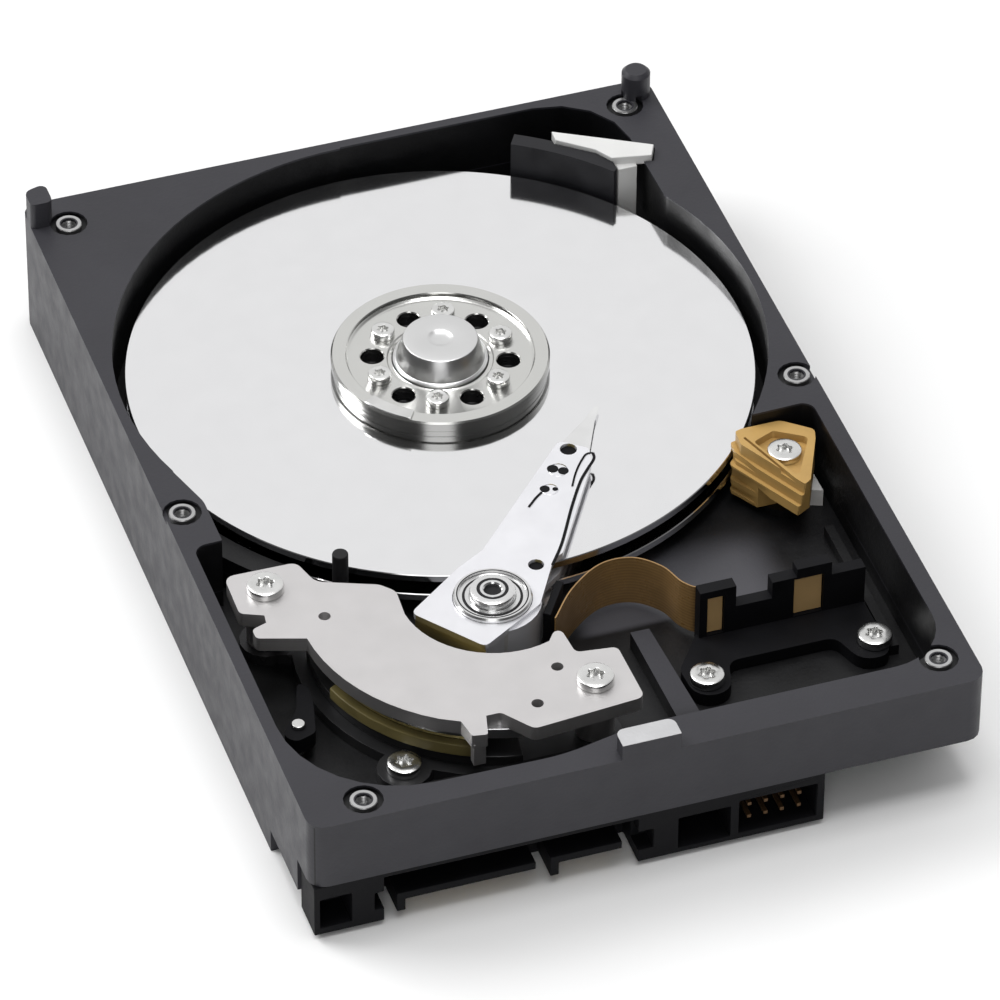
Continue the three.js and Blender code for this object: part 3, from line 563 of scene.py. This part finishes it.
def carve(obj, tool_mesh):
    """Cuts the closed shapes in a bmesh out of a piece."""
    mesh = bpy.data.meshes.new("tool")
    bmesh.ops.recalc_face_normals(tool_mesh, faces=tool_mesh.faces)
    tool_mesh.to_mesh(mesh)
    tool_mesh.free()
    tool = bpy.data.objects.new("tool", mesh)
    SCENE.collection.objects.link(tool)
    modifier = obj.modifiers.new("cut", "BOOLEAN")
    modifier.object = tool
    modifier.solver = "EXACT"
    bpy.context.view_layer.update()
    evaluated = obj.evaluated_get(bpy.context.evaluated_depsgraph_get())
    result = bpy.data.meshes.new_from_object(evaluated)
    obj.modifiers.remove(modifier)
    bm = bmesh.new()
    bm.from_mesh(result)
    shade(bm)
    bm.to_mesh(obj.data)
    bm.free()
    bpy.data.meshes.remove(result)
    bpy.data.objects.remove(tool)


def dress(node, material, width, segments=2):
    """Gives a CAD node a better material, and edges rounded by a width in millimetres."""
    obj = NODES[node]
    mesh = obj.data
    if "custom_normal" in mesh.attributes:
        mesh.attributes.remove(mesh.attributes["custom_normal"])
    mesh.polygons.foreach_set("use_smooth", [True] * len(mesh.polygons))
    mesh.materials.clear()
    mesh.materials.append(material)
    round_edges(obj, width, segments)


# ---- The finishes -----------------------------------------------------------------------------

PAINT = casting_paint()
MIRROR = turned_metal("disc_mirror", (0.9, 0.9, 0.91), 0.09, SPINDLE, pitch=0.3, depth=0.0002)
CLAMP_STEEL = turned_metal("clamp_steel", (0.7, 0.7, 0.68), 0.17, SPINDLE, shaded_side_share=0.5)
PIVOT_STEEL = turned_metal("pivot_steel", (0.8, 0.8, 0.8), 0.2, PIVOT)
SCREW_STEEL = surface("screw_steel", (0.76, 0.76, 0.75), 0.24, 1, (3000, 0.004), 0.08, 0.05)
HOLE_STEEL = surface("hole_steel", (0.5, 0.5, 0.5), 0.34, 1, (3000, 0.004), 0.08, 0.05)
PLATE_STEEL = surface("plate_steel", (0.63, 0.615, 0.615), 0.4, 0.85, (2400, 0.006), 0.02, 0.02)
ARM_METAL = arm_finish()
CAP_METAL = turned_metal("cap_metal", (0.74, 0.74, 0.74), 0.3, SPINDLE, pitch=0.2, depth=0.003, shaded_side_share=0.6)
# A near-black steel for the lower magnet and its plate: painted shade under the upper plate.
SHADED_STEEL = surface("shaded_steel", (0.05, 0.05, 0.052), 0.32, 0.6, (900, 0.01), 0.2, 0.08)
SPRING_STEEL = surface("spring_steel", (0.88, 0.88, 0.88), 0.22, 1, (3000, 0.002), 0.05, 0.05)
HUB_METAL = surface("hub_metal", (0.07, 0.07, 0.072), 0.3, 0.8, (2600, 0.004), 0.05, 0.06)
MAGNET_PLATING = surface("magnet_plating", (0.55, 0.55, 0.56), 0.3, 1, (900, 0.004), 0.08, 0.08)
BLACK_PLASTIC = surface("black_plastic", (0.005, 0.005, 0.0062), 0.58, 0, (2600, 0.015), 0.2, 0.07, 0.12)
GREY_PLASTIC = surface("grey_plastic", (0.013, 0.013, 0.0155), 0.5, 0, (2600, 0.012), 0.15, 0.07)
WHITE_PLASTIC = surface("white_plastic", (0.68, 0.68, 0.67), 0.5, 0, (2200, 0.01), 0.03, 0.06)
RAMP_PLASTIC = surface("ramp_plastic", (0.48, 0.3, 0.1), 0.42, 0, (1800, 0.012), 0.1, 0.06)
RESIN = surface("resin", (0.2, 0.165, 0.065), 0.35, 0, (1500, 0.01), 0.2, 0.06)
RUBBER = surface("rubber", (0.012, 0.012, 0.013), 0.6, 0, (3500, 0.02), 0.2, 0.06)
FOAM = surface("foam", (0.03, 0.03, 0.032), 0.95, 0, (1600, 0.12), 0.3, 0.04)
GOLD = surface("gold", (0.78, 0.56, 0.2), 0.25, 1, (3000, 0.003), 0.06, 0.05)
DULL_BRASS = surface("dull_brass", (0.12, 0.07, 0.035), 0.45, 0.7, (3000, 0.003), 0.06, 0.05)
CERAMIC = surface("ceramic", (0.06, 0.06, 0.065), 0.2, 0, (3000, 0.002), 0.1, 0.05)
TAN_FILM = surface("tan_film", (0.55, 0.36, 0.16), 0.45, 0, (1500, 0.006), 0.08, 0.05)
WINDINGS = banded("windings", ((0.5, 0.4, 0.14), (0.85, 0.74, 0.34)), 0.32, 0.4, 0.24, 0.05)
FILM = banded("film", ((0.25, 0.145, 0.052), (0.37, 0.22, 0.085)), 0.3, 0.1, 0.55, 0.008)
SOLDER_MASK = board_finish()


# ---- Pieces -----------------------------------------------------------------------------------


def screw_profile(low, seat, top, head, shank, socket):
    """Point, threaded shank, domed head and a six-lobed socket: three heights, then three radii."""
    pitch = 0.45 * MM
    root = shank - 0.14 * MM
    turns = max(1, int((seat - low - 0.5 * MM) / pitch))
    thread = []
    for i in range(turns):
        start = low + 0.35 * MM + i * pitch
        thread += [(root, start), (shank, start + pitch / 2)]

    def lobes(angle):
        return socket * (1 + 0.15 * math.cos(6 * angle))

    def mouth(angle):
        return lobes(angle) * 1.06

    rim = (top - seat) * 0.32
    depth = (top - seat) * 0.62
    return [
        (0, low), (shank * 0.7, low), (root, low + 0.3 * MM), *thread, (shank - 0.1 * MM, seat),
        (head - 0.08 * MM, seat), (head, seat + 0.1 * MM), (head, top - rim),
        (head - 0.3 * rim, top - 0.35 * rim), (head - rim, top), (socket * 1.32, top),
        (mouth, top - 0.04 * MM), (lobes, top - 0.12 * MM), (lobes, top - depth), (0, top - depth * 1.15),
    ]


def add_screw(node, height, body="base", shank=1.1, socket=0.42):
    """Replaces a CAD screw. Its head's height and its shank's radius are in millimetres, and the
    socket is a share of the head's radius."""
    centre, low, top, head = middle(node)
    profile = screw_profile(low, top - height * MM, top, head, shank * MM, head * socket)
    bm = lathe(bmesh.new(), centre, profile, 48)
    piece(node + "_fine", bm, body, SCREW_STEEL, [node])


def add_disc(node):
    """A mirror-bright disc with a chamfer at its rim and its bore."""
    centre, low, top, outer = middle(node)
    bore = 12.5 * MM
    chamfer = 0.12 * MM
    profile = [
        (bore, low + chamfer), (bore + chamfer, low), (outer - chamfer, low), (outer, low + chamfer),
        (outer, top - chamfer), (outer - chamfer, top), (bore + chamfer, top), (bore, top - chamfer),
    ]
    piece(node + "_fine", lathe(bmesh.new(), centre, profile, 256), "disc_pack", MIRROR, [node])


def add_clamp():
    """The ring that holds the discs: a grooved side, a raised lip and a sunk face with its holes."""
    centre, low, top, outer = middle("disc_clamp")
    floor = top - 1.05 * MM
    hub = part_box("spindle_hub")[1].z + 0.05 * MM
    bore = 7.35 * MM
    seat = 12.7 * MM
    lip = 14.3 * MM
    profile = [
        (bore, hub), (seat, hub), (seat, low), (outer - 0.35 * MM, low), (outer - 0.25 * MM, low + 0.1 * MM),
        (outer - 0.25 * MM, low + 1.0 * MM), (outer - 0.45 * MM, low + 1.05 * MM),
        (outer - 0.45 * MM, low + 1.2 * MM), (outer, low + 1.25 * MM),
        (outer, top - 0.25 * MM), (outer - 0.25 * MM, top), (lip, top), (lip - 0.15 * MM, top - 0.15 * MM),
        (lip - 0.15 * MM, floor + 0.7 * MM), (lip, floor + 0.6 * MM), (lip, floor + 0.35 * MM),
        (lip - 0.2 * MM, floor + 0.25 * MM), (lip - 0.35 * MM, floor + 0.1 * MM), (lip - 0.6 * MM, floor),
        (bore + 0.75 * MM, floor), (bore + 0.55 * MM, floor - 0.2 * MM), (bore + 0.25 * MM, floor - 0.2 * MM),
        (bore, floor - 0.05 * MM),
    ]
    shape = lathe(bmesh.new(), centre, profile, 192)
    clamp = piece("disc_clamp_fine", shape, "disc_pack", CLAMP_STEEL, ["disc_clamp"])
    tool = bmesh.new()
    widen = 0.15 * MM
    step = TAU / 12
    for i in range(1, 7):
        screw = middle(f"clamp_screw_{i}")[0] - centre
        between = Vector((screw.x * math.cos(step) - screw.y * math.sin(step),
                          screw.x * math.sin(step) + screw.y * math.cos(step)))
        for place, radius in ((screw, 1.0 * MM), (between, 1.75 * MM)):
            hole = [(0, low - MM), (radius, low - MM), (radius, floor - widen),
                    (radius + 2 * widen, floor + widen), (0, floor + widen)]
            lathe(tool, centre + place, hole, 40)
    carve(clamp, tool)


def add_hub_cap():
    """The pressed cap in the clamp's middle: a flange, a tapered side and a shallow dimple."""
    centre, low, top, _ = middle("hub_cap")
    steps = [
        (7.2, 4.8), (7.2, 3.75), (7.1, 3.65), (6.95, 3.65), (6.85, 3.55), (6.7, 3.5), (5.75, 0.35),
        (5.6, 0.1), (5.35, 0.0), (2.0, 0.0), (1.9, 0.04), (1.5, 0.3), (0.9, 0.42),
    ]
    side = [(radius * MM, top - depth * MM) for radius, depth in steps]
    shape = lathe(bmesh.new(), centre, [(0, low), *side, (0, top - 0.45 * MM)], 160)
    piece("hub_cap_fine", shape, "disc_pack", CAP_METAL, ["hub_cap"])


def add_pivot():
    """The arm's pivot: the fixed shaft, the sleeve of its bearing, and black rings on both, painted shade in
    their gaps, groove and hole.
    """
    centre, low, top, radius = middle("pivot_shaft")
    shaft_top = top
    ground = FLOOR + 0.02 * MM
    profile = [
        (0, low), (2 * MM, low), (2 * MM, ground), (radius, ground), (radius, top - 0.5 * MM),
        (radius - 0.12 * MM, top - 0.18 * MM), (radius - 0.5 * MM, top), (2.35 * MM, top),
        (2.25 * MM, top - 0.12 * MM), (1.95 * MM, top - 0.12 * MM), (1.85 * MM, top), (1.45 * MM, top),
        (1.25 * MM, top - 0.2 * MM), (1.2 * MM, top - 1.5 * MM), (0, top - 1.8 * MM),
    ]
    shaft = lathe(bmesh.new(), centre, profile, 96)
    piece("pivot_shaft_fine", shaft, "base", PIVOT_STEEL, ["pivot_shaft"])

    _, low, top, outer = middle("bearing_sleeve")
    bore = radius + 0.06 * MM
    shield = top - 0.45 * MM
    profile = [
        (bore, low), (outer - 0.2 * MM, low), (outer, low + 0.2 * MM), (outer, top - 0.25 * MM),
        (outer - 0.25 * MM, top), (outer - 0.75 * MM, top), (outer - 0.9 * MM, shield), (4.35 * MM, shield),
        (4.3 * MM, shield - 0.15 * MM), (4.1 * MM, shield - 0.15 * MM), (4.05 * MM, shield + 0.1 * MM),
        (bore, shield + 0.1 * MM),
    ]
    sleeve = lathe(bmesh.new(), centre, profile, 128)
    piece("bearing_sleeve_fine", sleeve, "actuator", PIVOT_STEEL, ["bearing_sleeve"])

    # Black rings in the bearing's gaps: painted shade.
    gap_shade_rings = bmesh.new()
    for inner, edge, z in [(4.05, 4.45, shield + 0.02 * MM), (5.1, 5.3, top + 0.01 * MM)]:
        washer(gap_shade_rings, centre, inner * MM, edge * MM, z - 0.2 * MM, z, 96)
    piece("bearing_gap_shade", gap_shade_rings, "actuator", RUBBER)
    # A black ring in the shaft's top groove and a black disc in its hole: painted shade.
    shaft_shade_rings = bmesh.new()
    for inner, edge, z in [(1.9, 2.3, shaft_top + 0.01 * MM), (0, 1.22, shaft_top - 0.6 * MM)]:
        washer(shaft_shade_rings, centre, inner * MM, edge * MM, z - 0.25 * MM, z, 64)
    piece("shaft_shade", shaft_shade_rings, "base", RUBBER)


def on_arm(u, v):
    """A point given in millimetres along the arm and to its left, from the pivot, at rest."""
    along = Vector((math.cos(ARM_ANGLE), math.sin(ARM_ANGLE)))
    left = Vector((-along.y, along.x))
    return PIVOT + u * MM * along + v * MM * left


def add_cover_holes():
    """The machined boss and threaded hole for each cover screw, standing in its recess."""
    pitch = 0.5 * MM
    thread = []
    for turn in range(9):
        z = RIM - 0.5 * MM - turn * pitch
        thread += [(1.17 * MM, z), (0.98 * MM, z - pitch / 2)]
    bottom = thread[-1][1]
    profile = [
        (1.9 * MM, RIM + 0.01 * MM), (2.0 * MM, RIM - 0.1 * MM), (2.0 * MM, RIM - 0.78 * MM),
        (1.19 * MM, bottom), *thread[::-1], (1.4 * MM, RIM + 0.01 * MM),
    ]
    for i, place in enumerate(COVER_HOLES):
        boss = lathe(bmesh.new(), Vector(place) * MM, profile, 48)
        piece(f"cover_hole_{i + 1}", boss, "base", HOLE_STEEL)


def add_flex_cable():
    """The brown flexible circuit: it leaves the arm, loops round and stands in the bracket."""
    low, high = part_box("flex_cable")
    path = smooth_path([Vector(place) * MM for place in CABLE_ROUTE], 12)
    bm = bmesh.new()
    sections = []
    for i, point in enumerate(path):
        along = (path[min(i + 1, len(path) - 1)] - path[max(i - 1, 0)]).normalized()
        side = Vector((-along.y, along.x)) * CABLE_THICKNESS / 2
        dip = min(1, max(0, (point.x - NOTCH_START) / MM), max(0, (NOTCH_END - point.x) / MM))
        top = high.z - dip * NOTCH_DEPTH
        corners = [(point - side, low.z), (point + side, low.z), (point + side, top), (point - side, top)]
        sections.append([bm.verts.new((place.x, place.y, z)) for place, z in corners])
    for first, second in zip(sections, sections[1:]):
        for i in range(4):
            j = (i + 1) % 4
            bm.faces.new((first[i], first[j], second[j], second[i]))
    bm.faces.new(sections[0][::-1])
    bm.faces.new(sections[-1])
    cable = piece("flex_cable_fine", bm, None, FILM, ["flex_cable"])
    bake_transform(cable)


def add_bracket_windows():
    """The tan stiffeners of the flexible circuit that show in the bracket's two windows."""
    bm = bmesh.new()
    for x0, x1 in [(19.9, 22.3), (33.3, 37.7)]:
        cuboid(bm, (x0 * MM, -40.9 * MM, 11.1 * MM), (x1 * MM, -40.5 * MM, 18.0 * MM))
    piece("flex_stiffeners", bm, "base", TAN_FILM)


def add_floor_pad():
    """The pale pad on the floor of the casting, between the ramp and the wall."""
    outline = [(44.9, -16.3), (47, -17.1), (46.9, -9.6), (46.5, -11.7)]
    pad = prism(bmesh.new(), [(x * MM, y * MM) for x, y in outline], FLOOR - 0.2 * MM, FLOOR + 3 * MM)
    piece("floor_pad", pad, "base", WHITE_PLASTIC)


def add_contacts():
    """The row of gold contacts on the blade of each plug."""
    pitch = 1.27 * MM
    half_width = 0.42 * MM
    bm = bmesh.new()
    for node, count in [("power_tongue", 15), ("data_tongue", 7)]:
        low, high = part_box(node)
        blade = high.z - 1.3 * MM
        start = (low.x + high.x) / 2 - (count - 1) / 2 * pitch + 0.6 * MM
        for i in range(count):
            x = start + i * pitch
            near = (x - half_width, low.y + 0.4 * MM, blade - 0.06 * MM)
            far = (x + half_width, low.y + 2.8 * MM, blade + 0.02 * MM)
            cuboid(bm, near, far)
    piece("plug_contacts", bm, "base", GOLD)


def add_board_details():
    """Test pads, vias and the flat chips on the outer face of the circuit board."""
    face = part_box("circuit_board")[0].z
    sunk = face + 0.1 * MM
    bm = bmesh.new()
    for i in range(66):
        x = (-38 + (i * 29) % 77) * MM
        y = (-56 + (i * 17) % 43) * MM
        radius = (0.45, 0.3, 0.6)[i % 3] * MM
        pad = [(0, sunk), (radius, sunk), (radius, face - 0.03 * MM),
               (radius * 0.7, face - 0.05 * MM), (0, face - 0.05 * MM)]
        lathe(bm, Vector((x, y)), pad, 20)
    for i in range(4):
        x = (-4.5 + 3 * i) * MM
        cuboid(bm, (x - 1.1 * MM, -6.5 * MM, face - 0.05 * MM), (x + 1.1 * MM, -3.5 * MM, sunk))
    for x in (-38, 38):
        place = Vector((x * MM, 14.5 * MM))
        washer(bm, place, 2.7 * MM, 3.4 * MM, sunk, face - 0.04 * MM, 40)
    piece("board_pads", bm, "base", GOLD)
    bm = bmesh.new()
    chip_boxes = [(-18, -34, 9, 9), (6, -30, 6, 8), (24, -38, 5, 4), (-33, -28, 4, 6), (34, -20, 3, 5)]
    for x, y, wide, deep in chip_boxes:
        cuboid(bm, (x * MM, y * MM, 0.5 * MM), ((x + wide) * MM, (y + deep) * MM, sunk))
    chips = piece("board_chips", bm, "base", CERAMIC)
    round_edges(chips, 0.12)


def add_arm_details():
    """The thin dark tails that carry each head's wires along the arm, and black dots near the tip, painted
    shade of the arm's holes.
    """
    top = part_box("arm_block")[1].z
    routes = [
        ([(9.6, -5.9), (14.7, -5.6), (22.7, -4.35), (28.4, -3.7), (31.5, -3.75), (34.1, -3.9),
          (35.4, -3.3)], 0.45),
        ([(27.2, -2.9), (29.4, -2.5), (31.4, -2.3), (33.4, -2.3), (34.8, -2.5), (35.4, -3.3)], 0.3),
        ([(20.6, 1.6), (22.8, 1.3), (24.4, 0.9)], 0.35),
    ]
    tails = bmesh.new()
    for route, width in routes:
        path = smooth_path([on_arm(u, v) for u, v in route])
        strip(tails, path, width * MM, top + 0.02 * MM, top + 0.1 * MM)
    piece("arm_tails", tails, "actuator", BLACK_PLASTIC)

    swages = bmesh.new()
    for u, v, radius in [(30, 0.3, 1.42 * MM), (25.4, 0, 1.22 * MM)]:
        dish = [(0, top - 0.9 * MM), (radius, top - 0.9 * MM), (radius, top - 0.1 * MM),
                (radius - 0.1 * MM, top - 0.03 * MM), (0, top - 0.03 * MM)]
        lathe(swages, on_arm(u, v), dish, 32)
    piece("arm_swages", swages, "actuator", ARM_METAL)

    # Black dots over the arm's holes, some on the face and some sunk: painted shade of the holes.
    hole_shade_dots = bmesh.new()
    proud = 0.02
    sunk = -0.5
    dots = [
        (30, 1.15, 0.85, proud), (30.1, -0.5, 0.8, proud), (25.3, 0.75, 0.75, proud),
        (25.8, -0.7, 0.4, proud), (35, 0.4, 1.22, sunk), (8.9, -3.6, 1.1, sunk),
    ]
    for u, v, radius, height in dots:
        face = top + height * MM
        washer(hole_shade_dots, on_arm(u, v), 0, radius * MM, face - 0.2 * MM, face, 32)
    piece("arm_hole_shade", hole_shade_dots, "actuator", BLACK_PLASTIC)


# ---- Build ------------------------------------------------------------------------------------

SCENE.view_settings.view_transform = "Standard"
add_camera()
add_world()
add_floor()
add_area_light("key", (-0.85, 0.7, 1.0), 0.8, 12)
add_area_light("top", (0, -0.1, 1.5), 0.7, 8)

# The finish of each CAD node that keeps its own shape, then the width in millimetres of its rounded
# edges and, for the larger ones, their number of segments.
FINISHES = [
    ("base_casting", PAINT, 0.35, 3), ("circuit_board", SOLDER_MASK, 0.08), ("insulator_pad", FOAM, 0.2),
    ("connector_housing", BLACK_PLASTIC, 0.15), ("power_tongue", BLACK_PLASTIC, 0.12),
    ("data_tongue", BLACK_PLASTIC, 0.12), ("jumper_pins", DULL_BRASS, 0.08),
    ("motor_base", PLATE_STEEL, 0.15), ("motor_stator", WINDINGS, 0.2), ("spindle_hub", HUB_METAL, 0.12),
    ("disc_spacer", HUB_METAL, 0.1),
    ("balance_clip", SCREW_STEEL, 0.06), ("arm_block", ARM_METAL, 0.15), ("coil_former", RESIN, 0.2),
    ("voice_coil", WINDINGS, 0.35, 3), ("flex_anchor", BLACK_PLASTIC, 0.12),
    ("lower_magnet_plate", SHADED_STEEL, 0.3, 3), ("lower_magnet", SHADED_STEEL, 0.15),
    ("upper_magnet", MAGNET_PLATING, 0.15), ("upper_magnet_plate", PLATE_STEEL, 0.22, 3),
    ("plate_pillar_left", PLATE_STEEL, 0.15), ("plate_pillar_right", PLATE_STEEL, 0.15),
    ("crash_stop", RUBBER, 0.2), ("latch_pin", SCREW_STEEL, 0.15), ("latch_lever", BLACK_PLASTIC, 0.25, 3),
    ("load_ramp", RAMP_PLASTIC, 0.15), ("filter_holder", GREY_PLASTIC, 0.15),
    ("recirculation_filter", WHITE_PLASTIC, 0.2), ("flex_bracket", BLACK_PLASTIC, 0.15),
]
for node, *finish in FINISHES:
    dress(node, *finish)
for i in range(1, 5):
    dress(f"suspension_{i}", SPRING_STEEL, 0.02)
    dress(f"head_slider_{i}", CERAMIC, 0.04)
for i in range(1, 4):
    dress(f"board_screw_{i}", SCREW_STEEL, 0.1)

add_disc("disc_upper")
add_disc("disc_lower")
add_clamp()
add_hub_cap()
add_pivot()
add_cover_holes()
add_flex_cable()
add_arm_details()
add_bracket_windows()
add_floor_pad()
add_contacts()
add_board_details()
for i in range(1, 7):
    add_screw(f"clamp_screw_{i}", 1.2, "disc_pack", 0.88, 0.42)
for side in ("left", "right"):
    add_screw(f"plate_screw_{side}", 1.3)
    add_screw(f"flex_screw_{side}", 1.4)
add_screw("lower_plate_screw", 1.4)
add_screw("ramp_screw", 1.1)
